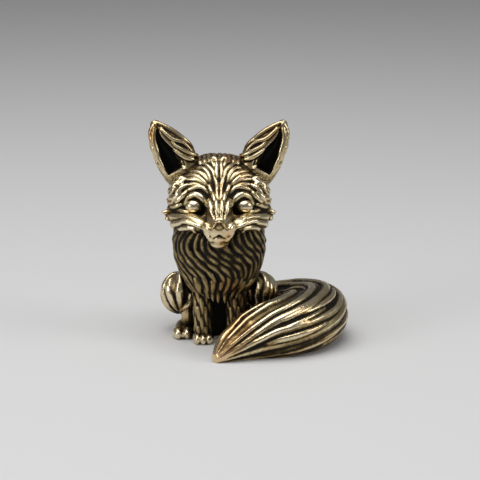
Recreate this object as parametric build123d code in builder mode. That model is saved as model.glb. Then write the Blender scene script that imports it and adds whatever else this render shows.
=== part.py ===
from build123d import *
import os
from math import cos, radians, sin, sqrt

# A sitting fox in antiqued cast brass, as the castings that it is brazed together from, in millimetres.
# The fox sits on the plane z = 0 with the middle of its seat on the origin, and looks along -Y.
# A "forward" size runs from the origin towards the nose, so forward f lies at y = -f.
# The fox's own right side lies at -X, and its tail curls round its left side to the front.

# Brazed joints: a peg on one casting enters a socket in the next one
joint_gap = 0.05
peg_radius = 0.7
peg_depth = 1.4
fine_peg_radius = 0.4
fine_peg_depth = 0.8
tail_peg_radius = 1.1

# Torso, level by level from the flat seat to the neck
seat_half_width = 5.0
seat_half_depth = 5.2
belly_height = 4.0
belly_half_width = 5.5
belly_half_depth = 5.7
belly_forward = 0.3
ribs_height = 9.5
ribs_half_width = 4.9
ribs_half_depth = 5.1
ribs_forward = 1.9
chest_height = 14.0
chest_half_width = 4.1
chest_half_depth = 4.3
chest_forward = 3.6
neck_height = 18.5
neck_radius = 3.2
neck_forward = 4.6
neck_peg_radius = 1.8
neck_peg_length = 2.5

# Head: an egg-shaped skull, broad cheeks and a tapering muzzle
head_rise = 4.3
head_reach = -0.3
skull_half_length = 6.0
skull_half_width = 7.2
skull_half_height = 5.6
skull_nod = 0.8
cheek_half_width = 8.3
cheek_radius = 3.3
cheek_reach = 1.7
cheek_drop = 2.7
muzzle_root_reach = 1.6
muzzle_root_half_width = 4.6
muzzle_root_half_height = 3.4
muzzle_root_drop = 2.3
bridge_reach = 5.4
bridge_half_width = 3.1
bridge_half_height = 2.9
bridge_drop = 2.7
lip_reach = 8.6
lip_half_width = 2.1
lip_half_height = 2.6
lip_drop = 3.8
muzzle_tip_reach = 10.4
muzzle_tip_half_width = 1.1
muzzle_tip_half_height = 1.4
muzzle_tip_drop = 3.7

# Rounded masses of the face: half sizes across, along and up, then how far each lies from the middle line,
# forward of the skull's middle and below it
bridge_mass = (1.9, 3.2, 1.25, 0, 6.6, 0.4)
bridge_slope = 37.0
temple_mass = (1.9, 2.8, 3.2, 5.7, 1.9, 0.2)
cheek_mass = (2.7, 1.9, 1.2, 3.9, 4.4, 2.7)
muzzle_side_mass = (1.6, 2.2, 1.4, 2.4, 6.3, 3.2)
lip_mass = (1.05, 1.6, 1.0, 1.4, 8.6, 4.05)
chin_mass = (1.5, 1.6, 0.9, 0, 8.2, 5.9)
eye_socket_mass = (1.95, 1.3, 0.95, 3.45, 5.9, 1.25)
eye_socket_roll = 25.0

# Nose and eyes: separate beads set into the face
nose_radius = 1.05
nose_reach = 10.0
nose_drop = 2.6
eye_radius = 0.85
eye_spread = 3.8
eye_drop = 1.05
eye_reach = 4.65

# Ears: leaf-shaped cups that splay outwards
ear_spread = 5.3
ear_reach = -0.3
ear_rise = 2.9
ear_splay = 30.5
ear_lean_back = 4.0
ear_length = 9.5
ear_half_width = 3.1
ear_half_thickness = 1.9
ear_tip_radius = 0.35
ear_root = 2.2
ear_wall = 0.95
ear_floor = 1.2
ear_hollow_shift = 0.6
ear_hollow_tip = 1.4

# Chest ruff: a bib of long fur that hangs from the cheeks over the breast
ruff_top_half_width = 4.8
ruff_top_half_depth = 4.4
ruff_top_rise = 1.5
ruff_half_width = 6.5
ruff_half_depth = 5.7
ruff_reach = 0.5
ruff_shoulder_drop = 1.5
ruff_breast_drop = 5.0
ruff_hem_drop = 8.2
ruff_hem_half_width = 5.8
ruff_hem_half_depth = 4.2
ruff_hem_reach = 1.8
ruff_end_drop = 10.9
ruff_end_half_width = 3.7
ruff_end_half_depth = 1.4
ruff_end_reach = 3.6
ruff_ridges = 22
ruff_ridge_height = 0.22

# Forelegs and forepaws
foreleg_spread = 2.5
foreleg_forward = 8.1
foreleg_height = 5.0
foreleg_half_width = 1.3
ankle_half_width = 1.2
ankle_height = 1.1
shoulder_height = 11.5
shoulder_half_width = 1.8
shoulder_forward = 6.6
shoulder_peg_height = 8.6
forepaw_half_width = 1.6
forepaw_half_height = 1.05
forepaw_length = 4.0
forepaw_reach = 2.4
forepaw_toes = 4

# Haunches and hind feet
haunch_spread = 5.9
haunch_forward = 2.4
haunch_height = 6.2
haunch_half_length = 4.3
haunch_radius = 2.9
haunch_pitch = 40.0
paw_gap = 0.2
hind_foot_forward = 7.8
hind_foot_length = 7.0
hind_foot_half_width = 1.5
hind_foot_half_height = 1.15
hind_toes = 3
shin_radius = 0.95
shin_inset = 0.8
shin_forward = 4.0
shin_top_drop = 0.8

# Tail: a full brush that lies on its side and curls round the left haunch, then reaches out to its tip
tail_radius = 4.7
tail_lie = 0.93
tail_curl_radius = 9.6
tail_curl_forward = 4.9
tail_root_angle = 118.0
tail_curl_angle = 193.0
tail_side_gap = 1.8
tail_tip_x = -0.7
tail_tip_reach = 8.5
tail_ridges = 16
tail_ridge_share = 0.045

# Share of the tail's length, and its girth there as a share of the fullest
tail_girths = [
    (0.00, 0.45),
    (0.14, 0.62),
    (0.28, 0.80),
    (0.42, 0.93),
    (0.51, 0.98),
    (0.60, 1.00),
    (0.69, 0.97),
    (0.78, 0.90),
    (0.87, 0.72),
    (0.96, 0.37),
    (1.00, 0.08),
]

# Shares of a length at which round sections are drawn
egg_shares = (-0.97, -0.75, -0.4, 0, 0.4, 0.75, 0.97)
paw_shares = (0.0, 0.35, 0.75, 1.0)

# Places that several castings share
sides = {"right": -1, "left": 1}
head_height = neck_height + head_rise
head_forward = neck_forward + head_reach
forepaw_front = foreleg_forward + forepaw_reach
hind_foot_spread = foreleg_spread + forepaw_half_width + paw_gap + hind_foot_half_width
tail_side = haunch_spread + haunch_radius + tail_side_gap + tail_radius
tail_curl_middle = (tail_side - tail_curl_radius, -tail_curl_forward)
nose_middle = (0, -head_forward - nose_reach, head_height - nose_drop)


def peg(joint, radius, length):
    """A round peg that starts on the joint plane and runs along its normal."""
    with BuildPart() as made:
        with BuildSketch(joint):
            Circle(radius)
        extrude(amount=length)
    return made.part


def socket(joint, radius, length):
    """The hole that a peg of that size is brazed into."""
    return peg(joint, radius + joint_gap, length + joint_gap)


def fit(form, neighbours, pegs=()):
    """A casting cut to sit face to face against its neighbours and their pegs, with its own pegs added."""
    with BuildPart() as casting:
        add(form)
        for neighbour in neighbours:
            add(neighbour, mode=Mode.SUBTRACT)
        for own_peg in pegs:
            add(own_peg)
    return casting.part


def egg(mass, side, slope=0, roll=0):
    """A rounded mass of the face on one side, sloping down to the front and rolled towards the nose, in degrees."""
    half_width, half_length, half_height, spread, reach, drop = mass
    middle = (side * spread, -head_forward - reach, head_height - drop)
    across = (cos(radians(roll)), 0, side * sin(radians(roll)))
    along = (0, -cos(radians(slope)), -sin(radians(slope)))
    with BuildPart() as made:
        for share in egg_shares:
            roundness = sqrt(1 - share**2)
            with BuildSketch(Plane(middle, x_dir=across, z_dir=along).offset(share * half_length)):
                Ellipse(half_width * roundness, half_height * roundness)
        loft()
    return made.part


def ridged_ring(half_width, half_depth, ridges, height):
    """Points round an oval that swings out on each ridge of fur and in between the ridges."""
    points = []
    for step in range(2 * ridges):
        angle = radians(180 + 180 * step / ridges)
        lift = height if step % 2 else -height
        points.append(((half_width + lift) * cos(angle), (half_depth + lift) * sin(angle)))
    return points


# Torso form: level ellipses from the seat up to the neck
torso_levels = [
    (0, seat_half_width, seat_half_depth, 0),
    (belly_height, belly_half_width, belly_half_depth, belly_forward),
    (ribs_height, ribs_half_width, ribs_half_depth, ribs_forward),
    (chest_height, chest_half_width, chest_half_depth, chest_forward),
    (neck_height, neck_radius, neck_radius, neck_forward),
]
with BuildPart() as torso_form:
    for height, half_width, half_depth, forward in torso_levels:
        with BuildSketch(Plane.XY.offset(height)):
            with Locations((0, -forward)):
                Ellipse(half_depth, half_width, rotation=-90)
    loft()

# Head form: skull, cheeks and muzzle in one casting
cheek_plane = Plane((0, -head_forward - cheek_reach, head_height - cheek_drop), x_dir=(0, 1, 0), z_dir=(1, 0, 0))
muzzle_sections = [
    (muzzle_root_reach, muzzle_root_half_width, muzzle_root_half_height, muzzle_root_drop),
    (bridge_reach, bridge_half_width, bridge_half_height, bridge_drop),
    (lip_reach, lip_half_width, lip_half_height, lip_drop),
    (muzzle_tip_reach, muzzle_tip_half_width, muzzle_tip_half_height, muzzle_tip_drop),
]
with BuildPart() as head_form:
    for share in egg_shares:
        roundness = sqrt(1 - share**2)
        with BuildSketch(Plane.XZ.offset(head_forward + share * skull_half_length)):
            with Locations((0, head_height - share * skull_nod)):
                Ellipse(skull_half_height * roundness, skull_half_width * roundness, rotation=90)
    loft()
    for share in egg_shares:
        with BuildSketch(cheek_plane.offset(share * cheek_half_width)):
            Circle(cheek_radius * sqrt(1 - share**2))
    loft()
    for reach, half_width, half_height, drop in muzzle_sections:
        with BuildSketch(Plane.XZ.offset(head_forward + reach)):
            with Locations((0, head_height - drop)):
                Ellipse(half_height, half_width, rotation=-90)
    loft()
    add(egg(bridge_mass, 0, slope=bridge_slope))
    add(egg(chin_mass, 0))
    for side in sides.values():
        for mass in (temple_mass, cheek_mass, muzzle_side_mass, lip_mass):
            add(egg(mass, side))
    for side in sides.values():
        add(egg(eye_socket_mass, side, roll=eye_socket_roll), mode=Mode.SUBTRACT)

# Chest ruff form: level rings of ridges, from the end of the bib up to the cheeks
ruff_levels = [
    (ruff_end_drop, ruff_end_half_width, ruff_end_half_depth, ruff_end_reach),
    (ruff_hem_drop, ruff_hem_half_width, ruff_hem_half_depth, ruff_hem_reach),
    (ruff_breast_drop, ruff_half_width, ruff_half_depth, ruff_reach),
    (ruff_shoulder_drop, ruff_half_width, ruff_half_depth, ruff_reach),
    (-ruff_top_rise, ruff_top_half_width, ruff_top_half_depth, ruff_reach),
]
with BuildPart() as ruff_form:
    for drop, half_width, half_depth, reach in ruff_levels:
        height = ruff_ridge_height * half_width / ruff_half_width
        level = Plane((0, -neck_forward - reach, neck_height - drop), x_dir=(0, -1, 0), z_dir=(0, 0, 1))
        with BuildSketch(level):
            with BuildLine():
                Spline(ridged_ring(half_depth, half_width, ruff_ridges, height), periodic=True)
            make_face()
    loft()

# Tail form: ridged sections square to a curved route, cut flat where the brush lies on the floor
with BuildPart() as tail_form:
    with BuildLine() as tail_route:
        curl = CenterArc(tail_curl_middle, tail_curl_radius, tail_root_angle, -tail_curl_angle)
        TangentArc(curl @ 1, (tail_tip_x, -forepaw_front - tail_tip_reach), tangent=curl % 1)
    for share, girth in tail_girths:
        radius = girth * tail_radius
        middle = (tail_route.wire() @ share) + Vector(0, 0, tail_lie * radius)
        with BuildSketch(Plane(middle, x_dir=(0, 0, 1), z_dir=tail_route.wire() % share)):
            with BuildLine():
                Spline(ridged_ring(radius, radius, tail_ridges, tail_ridge_share * radius), periodic=True)
            make_face()
    loft()
    split(bisect_by=Plane.XY)

# Room for the tail: the same brush without its ridges, which its neighbours are cut to
with BuildPart() as tail_room:
    for share, girth in tail_girths:
        middle = (tail_route.wire() @ share) + Vector(0, 0, tail_lie * girth * tail_radius)
        with BuildSketch(Plane(middle, x_dir=(0, 0, 1), z_dir=tail_route.wire() % share)):
            Circle(girth * tail_radius * (1 + tail_ridge_share))
    loft()


def make_haunch_form(side):
    """An egg-shaped thigh beside the belly, its knee raised to the front."""
    pitch = radians(haunch_pitch)
    thigh = Plane((side * haunch_spread, -haunch_forward, haunch_height), z_dir=(0, -cos(pitch), sin(pitch)))
    with BuildPart() as haunch_form:
        for share in egg_shares:
            with BuildSketch(thigh.offset(share * haunch_half_length)):
                Circle(haunch_radius * sqrt(1 - share**2))
        loft()
    return haunch_form.part


def make_foreleg_form(side):
    """A straight foreleg from the ankle up to the shoulder, under the ruff."""
    levels = [
        (ankle_height, ankle_half_width, foreleg_forward),
        (foreleg_height, foreleg_half_width, foreleg_forward),
        (shoulder_height, shoulder_half_width, shoulder_forward),
    ]
    with BuildPart() as foreleg_form:
        for height, half_width, forward in levels:
            with BuildSketch(Plane.XY.offset(height)):
                with Locations((side * foreleg_spread, -forward)):
                    Circle(half_width)
        loft()
    return foreleg_form.part


def make_paw_form(x, front, length, half_width, half_height, toes):
    """A long low foot with a row of round toes across its front, cut flat on the floor."""
    toe_radius = half_width / toes + half_height / 4
    toe_pitch = 2 * (half_width - toe_radius) / (toes - 1)
    with BuildPart() as paw_form:
        for share in paw_shares:
            narrowing = sqrt(1 - (share - 0.6) ** 2)
            with BuildSketch(Plane.XZ.offset(front - toe_radius - length * (1 - share))):
                with Locations((x, half_height * 0.9)):
                    Ellipse(half_width * narrowing, half_height * narrowing)
        loft()
        with Locations(Plane((x, toe_radius - front, toe_radius * 0.9))):
            with GridLocations(toe_pitch, 1, toes, 1):
                Sphere(toe_radius)
        split(bisect_by=Plane.XY)
    return paw_form.part


def make_ear_form(plane, side):
    """A leaf-shaped cup, hollowed from its front towards its outer edge."""
    outer = [
        (-ear_root, 0.85, 0.9),
        (ear_floor, 1.0, 1.0),
        (ear_length * 0.36, 0.98, 0.95),
        (ear_length * 0.64, 0.74, 0.7),
        (ear_length * 0.88, 0.36, 0.38),
    ]
    with BuildPart() as ear_form:
        for rise, width, thickness in outer:
            with BuildSketch(plane.offset(rise)):
                Ellipse(ear_half_width * width, ear_half_thickness * thickness)
        with BuildSketch(plane.offset(ear_length)):
            Circle(ear_tip_radius)
        loft()
        for rise, width, thickness in outer[1:4]:
            with BuildSketch(plane.offset(rise)):
                with Locations((side * ear_hollow_shift, -ear_half_thickness)):
                    Ellipse(
                        ear_half_width * width - ear_wall - ear_hollow_shift,
                        ear_half_thickness * (1 + thickness) - ear_wall,
                    )
        with BuildSketch(plane.offset(ear_length - ear_hollow_tip)):
            with Locations((0, -ear_half_thickness / 2)):
                Circle(ear_tip_radius)
        loft(mode=Mode.SUBTRACT)
    return ear_form.part


# Pegs that run from one casting into the next
neck_joint = Plane((0, -neck_forward, neck_height))
neck_peg = (neck_joint, neck_peg_radius, neck_peg_length)
nose_joint = Plane(nose_middle, x_dir=(1, 0, 0), z_dir=(0, 1, 0)).offset(-nose_radius / 2)
nose_peg = (nose_joint, fine_peg_radius, nose_radius + fine_peg_depth)
tail_joint_share = tail_girths[1][0]
tail_joint_height = tail_lie * tail_radius * tail_girths[1][1]
tail_joint_middle = (tail_route.wire() @ tail_joint_share) + Vector(0, 0, tail_joint_height)
tail_joint = Plane(tail_joint_middle, x_dir=(0, 0, 1), z_dir=-(tail_route.wire() % tail_joint_share))
tail_peg = (tail_joint, tail_peg_radius, tail_route.wire().length * tail_joint_share)

# Right and left castings, which mirror each other
castings = {}
head_cuts = [torso_form.part, socket(*neck_peg), socket(*nose_peg)]
torso_cuts = [socket(*tail_peg)]
ruff_cuts = [torso_form.part, head_form.part]
for name, side in sides.items():
    ear_plane = Plane((side * ear_spread, -head_forward - ear_reach, head_height + ear_rise)).rotated(
        (-ear_lean_back, side * ear_splay, 0)
    )
    ear_joint = Plane(ear_plane.origin + ear_plane.z_dir * ear_floor, z_dir=-ear_plane.z_dir)
    ear_peg = (ear_joint, peg_radius, ear_floor + peg_depth)
    castings[f"{name}_ear"] = fit(make_ear_form(ear_plane, side), [head_form.part], [peg(*ear_peg)])
    head_cuts.append(socket(*ear_peg))

    with BuildPart() as eye:
        with Locations((side * eye_spread, -head_forward - eye_reach, head_height - eye_drop)):
            Sphere(eye_radius, rotation=(90, 0, 0))
    castings[f"{name}_eye"] = eye.part
    head_cuts.append(eye.part)

    haunch_form = make_haunch_form(side)
    haunch_joint = Plane((side * haunch_spread, -haunch_forward, haunch_height), z_dir=(-side, 0, 0))
    haunch_peg = (haunch_joint, peg_radius, haunch_spread - belly_half_width + peg_depth)
    shin_joint = Plane((side * (hind_foot_spread - shin_inset), -shin_forward, hind_foot_half_height))
    shin = (shin_joint, shin_radius, haunch_height - shin_top_drop - hind_foot_half_height)
    torso_cuts.append(socket(*haunch_peg))
    around_haunch = [torso_form.part, ruff_form.part, tail_room.part, socket(*shin)]
    castings[f"{name}_haunch"] = fit(haunch_form, around_haunch, [peg(*haunch_peg)])
    foot_form = make_paw_form(
        side * hind_foot_spread, hind_foot_forward, hind_foot_length, hind_foot_half_width, hind_foot_half_height,
        hind_toes
    )
    castings[f"{name}_hind_foot"] = fit(fit(foot_form, [], [peg(*shin)]), [torso_form.part, tail_room.part])

    foreleg_form = make_foreleg_form(side)
    foreleg_joint = Plane((side * foreleg_spread, -shoulder_forward, shoulder_peg_height), z_dir=(0, 1, 0))
    foreleg_peg = (foreleg_joint, peg_radius, shoulder_half_width + peg_depth)
    torso_cuts.append(socket(*foreleg_peg))
    foreleg = fit(foreleg_form, [torso_form.part, haunch_form], [peg(*foreleg_peg)])
    castings[f"{name}_foreleg"] = foreleg
    ruff_cuts.append(foreleg)
    forepaw_form = make_paw_form(
        side * foreleg_spread, forepaw_front, forepaw_length, forepaw_half_width, forepaw_half_height, forepaw_toes
    )
    castings[f"{name}_forepaw"] = fit(forepaw_form, [foreleg_form, torso_form.part, tail_room.part])

# Castings on the middle line
with BuildPart() as nose_form:
    with Locations(nose_middle):
        Sphere(nose_radius)
castings["nose"] = fit(nose_form.part, [head_form.part], [peg(*nose_peg)])
castings["tail"] = fit(tail_form.part, [torso_form.part], [peg(*tail_peg)])
castings["chest_ruff"] = fit(ruff_form.part, ruff_cuts)
castings["head"] = fit(head_form.part, head_cuts)
castings["torso"] = fit(torso_form.part, torso_cuts, [peg(*neck_peg)])

os.makedirs("parts", exist_ok=True)
for name, casting in castings.items():
    casting.label = name
    export_step(casting, f"parts/{name}.step")
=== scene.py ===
import bmesh
import bpy
import numpy as np
from math import cos, pi, radians, sin
from mathutils import Matrix, Vector
from mathutils.bvhtree import BVHTree
from random import Random


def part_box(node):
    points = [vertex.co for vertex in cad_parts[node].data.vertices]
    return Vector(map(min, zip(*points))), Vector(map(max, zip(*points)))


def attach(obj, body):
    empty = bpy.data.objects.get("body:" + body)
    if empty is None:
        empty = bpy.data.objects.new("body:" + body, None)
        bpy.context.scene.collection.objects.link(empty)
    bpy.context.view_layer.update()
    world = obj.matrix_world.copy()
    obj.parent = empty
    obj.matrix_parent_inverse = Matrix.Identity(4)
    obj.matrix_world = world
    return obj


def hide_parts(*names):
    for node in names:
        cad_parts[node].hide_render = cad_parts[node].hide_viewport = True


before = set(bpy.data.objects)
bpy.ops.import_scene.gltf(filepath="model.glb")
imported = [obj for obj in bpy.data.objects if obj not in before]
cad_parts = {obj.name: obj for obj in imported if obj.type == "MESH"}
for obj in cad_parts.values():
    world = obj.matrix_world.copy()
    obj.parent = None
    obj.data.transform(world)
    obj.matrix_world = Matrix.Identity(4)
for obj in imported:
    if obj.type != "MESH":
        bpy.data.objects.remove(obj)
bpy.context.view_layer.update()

# Camera
# The fox sits facing -Y, with its own right side at -X. It is seen from in front and a little above,
# through a long lens that keeps its lines nearly parallel.
frame_pixels = 480
lens_mm = 156
sensor_mm = 36
camera_place = Vector((0, -0.3165, 0.0936))
camera_target = Vector((0.0032, -0.0057, 0.0156))
camera_turn = (camera_target - camera_place).to_track_quat("-Z", "Y")
camera = bpy.data.objects.new("camera", bpy.data.cameras.new("camera"))
camera.data.lens = lens_mm
camera.data.sensor_width = sensor_mm
camera.data.clip_end = 20
camera.location = camera_place
camera.rotation_euler = camera_turn.to_euler()
bpy.context.scene.collection.objects.link(camera)
bpy.context.scene.camera = camera


# Torso
# The body is one brass casting with a flat seat. Short locks of fur are cut over its back and flanks,
# and the cut lines hold the dark patina that the rest of the fox has too.
def add_node(tree, kind, inputs=None, **settings):
    """The outputs of a new node, whose inputs are linked to sockets or set to values."""
    node = tree.nodes.new(kind)
    for name, value in settings.items():
        setattr(node, name, value)
    for socket, value in (inputs or {}).items():
        if isinstance(value, bpy.types.NodeSocket):
            tree.links.new(value, node.inputs[socket])
        else:
            node.inputs[socket].default_value = value
    return node.outputs


def remap(tree, value, given, wanted):
    """A value that is stretched from one range, low and high, to another."""
    ends = {"From Min": given[0], "From Max": given[1], "To Min": wanted[0], "To Max": wanted[1]}
    return add_node(tree, "ShaderNodeMapRange", {"Value": value, **ends})[0]


def build_brass():
    """Antiqued brass: pale rubbed ridges, near-black wax left in the cuts, and painted light and shade from
    the same value, lighter on upturned faces and bulges and browner on flanks and undersides.
    """
    mottle_share = 0.34
    uneven_share = 0.14
    stain_and_reflection_tint = (0.80, 0.46, 0.22, 1)
    # Colours along the patina and painted shade value, from rubbed and lit ridges to wax and shade in the
    # hollows
    patina_shades = [
        (0.00, (0.82, 0.70, 0.47, 1)),
        (0.20, (0.50, 0.39, 0.20, 1)),
        (0.40, (0.19, 0.137, 0.058, 1)),
        (0.58, (0.045, 0.032, 0.016, 1)),
        (0.85, (0.008, 0.007, 0.006, 1)),
    ]
    brass = bpy.data.materials.new("antiqued_brass")
    brass.use_nodes = True
    tree = brass.node_tree
    shader = tree.nodes["Principled BSDF"]
    place = add_node(tree, "ShaderNodeTexCoord")["Object"]
    patina_and_shade = add_node(tree, "ShaderNodeAttribute", attribute_name="patina_and_shade")["Fac"]
    mottle = add_node(
        tree, "ShaderNodeTexNoise", {"Vector": place, "Scale": 700, "Detail": 5, "Roughness": 0.6}
    )["Fac"]
    tarnish_and_reflection = add_node(tree, "ShaderNodeTexNoise", {"Vector": place, "Scale": 170, "Detail": 3})["Fac"]
    grain = add_node(tree, "ShaderNodeTexNoise", {"Vector": place, "Scale": 5200, "Detail": 4})["Fac"]
    shifted = add_node(
        tree, "ShaderNodeMath", {0: mottle, 1: mottle_share, 2: patina_and_shade}, operation="MULTIPLY_ADD"
    )[0]
    centred = add_node(
        tree, "ShaderNodeMath", {0: shifted, 1: mottle_share / 2}, operation="SUBTRACT", use_clamp=True
    )[0]
    shades = tree.nodes.new("ShaderNodeValToRGB")
    ramp = shades.color_ramp
    while len(ramp.elements) < len(patina_shades):
        ramp.elements.new(0.5)
    for element, (position, colour) in zip(ramp.elements, patina_shades):
        element.position = position
        element.color = colour
    tree.links.new(centred, shades.inputs["Fac"])
    # Random warm patches, partly tarnish and partly painted warm reflection, multiply the brass colour
    stain_and_reflection = remap(tree, tarnish_and_reflection, (0.49, 0.7), (0, 0.6))
    warmed = add_node(
        tree, "ShaderNodeMix", {0: stain_and_reflection, 6: shades.outputs["Color"], 7: stain_and_reflection_tint},
        data_type="RGBA", blend_type="MULTIPLY"
    )[2]
    dulled = remap(tree, centred, (0.1, 0.8), (0.17, 0.6))
    uneven = add_node(
        tree, "ShaderNodeMath", {0: mottle, 1: uneven_share, 2: dulled}, operation="MULTIPLY_ADD"
    )[0]
    metal = remap(tree, centred, (0.55, 1), (1, 0.55))
    bump = add_node(tree, "ShaderNodeBump", {"Strength": 0.12, "Distance": 0.0001, "Height": grain})["Normal"]
    tree.links.new(warmed, shader.inputs["Base Color"])
    tree.links.new(uneven, shader.inputs["Roughness"])
    tree.links.new(metal, shader.inputs["Metallic"])
    tree.links.new(bump, shader.inputs["Normal"])
    return brass


def build_strand_tree():
    """Lays a tapered round strand along each guide line, sunk into the nearest face of the casting."""
    taper_root = (0, 0.5)
    taper_widths = [(0.2, 0.92), (0.45, 1.0), (0.75, 0.72)]
    taper_tip = (1, 0.12)
    tree = bpy.data.node_groups.new("carved_strands", "GeometryNodeTree")
    kinds = {"Guides": "Geometry", "Casting": "Object", "Points": "Int", "Sides": "Int", "Finish": "Material"}
    sockets = {}
    for name, kind in kinds.items():
        socket = tree.interface.new_socket(name, in_out="INPUT", socket_type=f"NodeSocket{kind}")
        sockets[name] = socket.identifier
    tree.interface.new_socket("Strands", in_out="OUTPUT", socket_type="NodeSocketGeometry")
    given = tree.nodes.new("NodeGroupInput").outputs

    lines = add_node(tree, "GeometryNodeMeshToCurve", {"Mesh": given["Guides"]})[0]
    curves = add_node(tree, "GeometryNodeCurveSplineType", {"Curve": lines}, spline_type="CATMULL_ROM")[0]
    even = add_node(tree, "GeometryNodeResampleCurve", {"Curve": curves, "Count": given["Points"]})[0]
    along = add_node(tree, "GeometryNodeSplineParameter")["Factor"]
    taper_node = tree.nodes.new("ShaderNodeFloatCurve")
    taper_curve = taper_node.mapping.curves[0]
    taper_curve.points[0].location = taper_root
    taper_curve.points[1].location = taper_tip
    for share, width in taper_widths:
        taper_curve.points.new(share, width)
    taper_node.mapping.update()
    tree.links.new(along, taper_node.inputs["Value"])
    taper = taper_node.outputs[0]
    girth, sink, cling = [
        add_node(tree, "GeometryNodeInputNamedAttribute", {"Name": name})["Attribute"]
        for name in ("girth", "sink", "cling")
    ]

    casting = add_node(tree, "GeometryNodeObjectInfo", {"Object": given["Casting"]})["Geometry"]
    nearest = add_node(tree, "GeometryNodeProximity", {"Geometry": casting})["Position"]
    outwards = add_node(tree, "GeometryNodeInputNormal")["Normal"]
    sampler = tree.nodes.new("GeometryNodeSampleNearestSurface")
    sampler.data_type = "FLOAT_VECTOR"
    tree.links.new(casting, sampler.inputs["Mesh"])
    tree.links.new(outwards, sampler.inputs["Value"])
    depth = add_node(tree, "ShaderNodeMath", {0: sink, 1: taper}, operation="MULTIPLY")[0]
    down = add_node(
        tree, "ShaderNodeVectorMath", {0: sampler.outputs[0], "Scale": depth}, operation="SCALE"
    )[0]
    sunk = add_node(tree, "ShaderNodeVectorMath", {0: nearest, 1: down}, operation="SUBTRACT")[0]
    free = add_node(tree, "GeometryNodeInputPosition")[0]
    laid = add_node(tree, "ShaderNodeMix", {0: cling, 4: free, 5: sunk}, data_type="VECTOR")[1]
    placed = add_node(tree, "GeometryNodeSetPosition", {"Geometry": even, "Position": laid})[0]

    radius = add_node(tree, "ShaderNodeMath", {0: girth, 1: taper}, operation="MULTIPLY")[0]
    ring = add_node(
        tree, "GeometryNodeCurvePrimitiveCircle", {"Resolution": given["Sides"], "Radius": 1.0}
    )[0]
    tubes = add_node(
        tree, "GeometryNodeCurveToMesh",
        {"Curve": placed, "Profile Curve": ring, "Scale": radius, "Fill Caps": True}
    )[0]
    real = add_node(tree, "GeometryNodeRealizeInstances", {"Geometry": tubes})[0]
    finished = add_node(tree, "GeometryNodeSetMaterial", {"Geometry": real, "Material": given["Finish"]})[0]
    result = tree.nodes.new("NodeGroupOutput")
    tree.links.new(finished, result.inputs["Strands"])
    return tree, sockets


def strand(points, breadth, rise, cling=1.0):
    """One lock of fur: its guide points, its breadth, its rise above the casting, and how it clings to it."""
    girth = rise / 2 + breadth**2 / (8 * rise)
    clings = [cling] * len(points) if isinstance(cling, float) else cling
    return [(tuple(point), girth, girth - rise, held) for point, held in zip(points, clings)]


def casting_form(node):
    """A copy of a CAD node's mesh in millimetres, with its loose triangles joined up."""
    weld_distance = 1e-7
    work = bmesh.new()
    work.from_mesh(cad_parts[node].data)
    bmesh.ops.remove_doubles(work, verts=work.verts, dist=weld_distance)
    bmesh.ops.scale(work, vec=(mm_per_m, mm_per_m, mm_per_m), verts=work.verts)
    mesh = bpy.data.meshes.new(f"{node}_form")
    work.to_mesh(mesh)
    work.free()
    return mesh


def plain_mesh(holder):
    """The mesh that an object's modifiers make, with the object itself taken away."""
    graph = bpy.context.evaluated_depsgraph_get()
    mesh = bpy.data.meshes.new_from_object(holder.evaluated_get(graph))
    bpy.data.objects.remove(holder)
    return mesh


def melt(meshes, voxel, relax):
    """Several closed meshes cast together as one skin, with its steps smoothed out."""
    work = bmesh.new()
    for mesh in meshes:
        work.from_mesh(mesh)
    joined = bpy.data.meshes.new("joined")
    work.to_mesh(joined)
    work.free()
    holder = bpy.data.objects.new("holder", joined)
    bpy.context.scene.collection.objects.link(holder)
    skin = holder.modifiers.new("skin", "REMESH")
    skin.mode = "VOXEL"
    skin.voxel_size = voxel
    smooth = holder.modifiers.new("smooth", "SMOOTH")
    smooth.factor = 0.5
    smooth.iterations = relax
    return plain_mesh(holder)


def comb(form, strands, points=18, sides=10):
    """The strands of fur as one mesh, laid on a casting's form."""
    vertices = []
    edges = []
    girths = []
    sinks = []
    clings = []
    for one in strands:
        start = len(vertices)
        edges += [(start + step, start + step + 1) for step in range(len(one) - 1)]
        for point, girth, sink, cling in one:
            vertices.append(point)
            girths.append(girth)
            sinks.append(sink)
            clings.append(cling)
    guides = bpy.data.meshes.new("guides")
    guides.from_pydata(vertices, edges, [])
    for name, values in [("girth", girths), ("sink", sinks), ("cling", clings)]:
        guides.attributes.new(name, "FLOAT", "POINT").data.foreach_set("value", values)
    under = bpy.data.objects.new("under", form)
    holder = bpy.data.objects.new("holder", guides)
    for item in (under, holder):
        bpy.context.scene.collection.objects.link(item)
    modifier = holder.modifiers.new("strands", "NODES")
    modifier.node_group = strand_tree
    modifier[strand_sockets["Casting"]] = under
    modifier[strand_sockets["Points"]] = points
    modifier[strand_sockets["Sides"]] = sides
    modifier[strand_sockets["Finish"]] = brass
    mesh = plain_mesh(holder)
    bpy.data.objects.remove(under)
    return mesh


def finish_casting(node, mesh, wax_and_shade=0.0):
    """Puts a finished skin in the place of its CAD node, with more or less wax and painted shade to lie on
    it; below zero it is lightened, as painted light.
    """
    spots = np.empty(len(mesh.vertices) * 3, dtype=np.float32)
    mesh.vertices.foreach_get("co", spots)
    spots = spots.reshape(-1, 3)
    spots[:, 2] = np.maximum(spots[:, 2], 0)
    mesh.vertices.foreach_set("co", (spots * m_per_mm).ravel())
    mesh.materials.clear()
    mesh.materials.append(brass)
    mesh.shade_smooth()
    mesh.update()
    piece = bpy.data.objects.new(f"fox_{node}", mesh)
    bpy.context.scene.collection.objects.link(piece)
    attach(piece, "root")
    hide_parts(node)
    castings.append((piece, wax_and_shade))


def ring_point(levels, height, angle):
    """A point on a form of level ellipses, each a height, a half width, a half depth and a forward place."""
    heights = [level[0] for level in levels]
    half_width, half_depth, forward = [
        np.interp(height, heights, [level[part] for level in levels]) for part in (1, 2, 3)
    ]
    return Vector((half_width * cos(angle), half_depth * sin(angle) - forward, height))


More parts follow.
